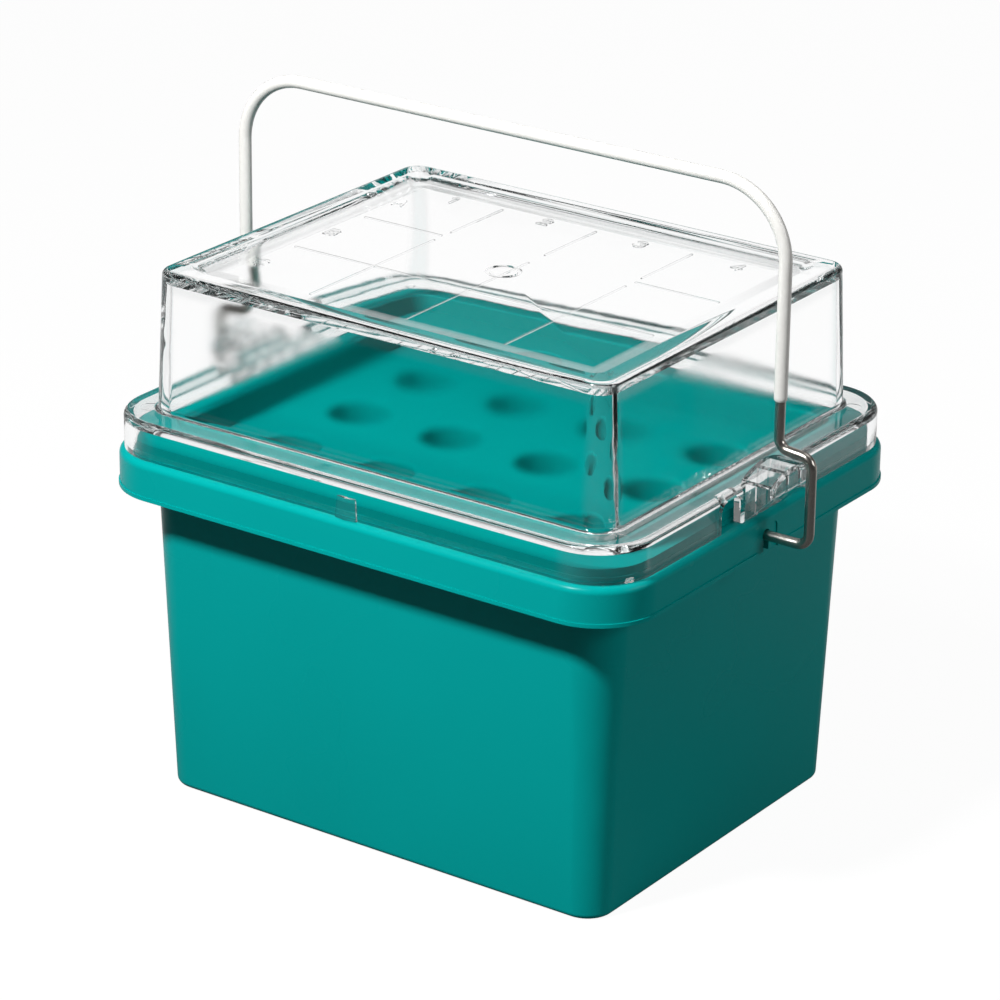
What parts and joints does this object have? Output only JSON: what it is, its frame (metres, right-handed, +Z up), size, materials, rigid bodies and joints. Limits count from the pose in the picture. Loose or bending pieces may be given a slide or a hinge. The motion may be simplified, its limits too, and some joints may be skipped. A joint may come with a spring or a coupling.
{
  "type": "benchtop cooler",
  "caption": "Gel-filled benchtop cooler: a flared tub with a rim band, a tray of blind tube wells, a clear lid with a lettered grid and a folding sleeved wire handle",
  "frame": {"origin": "middle of the footprint, on the surface it stands on", "axes": "+X along the long side and the crossbar, +Y away from the front long side, +Z up"},
  "size_m": [0.1704, 0.1224, 0.1644],
  "materials": {
    "teal_moulding": "gloss, injection moulded",
    "clear_moulding": "polished clear",
    "cooling_gel": "clear gel, sealed in the tub",
    "handle_steel": "drawn stainless wire",
    "white_sleeve": "smooth white tubing"
  },
  "bodies": {
    "base": {"outer_shell": "teal_moulding", "well_tray": "teal_moulding", "gel_charge": "cooling_gel", "fill_plugs": "teal_moulding"},
    "lid": {"lid_cover": "clear_moulding"},
    "handle": {"handle_wire": "handle_steel", "grip_sleeve": "white_sleeve"}
  },
  "joints": [
    {"name": "handle_fold", "type": "hinge", "parent": "base", "child": "handle", "pos_m": [0, 0, 0.0813], "axis": [1, 0, 0], "range_deg": [-139, 139]},
    {"name": "lid_lift", "type": "slide", "parent": "base", "child": "lid", "axis": [0, 0, 1], "range_m": [0, 0.001]}
  ]
}
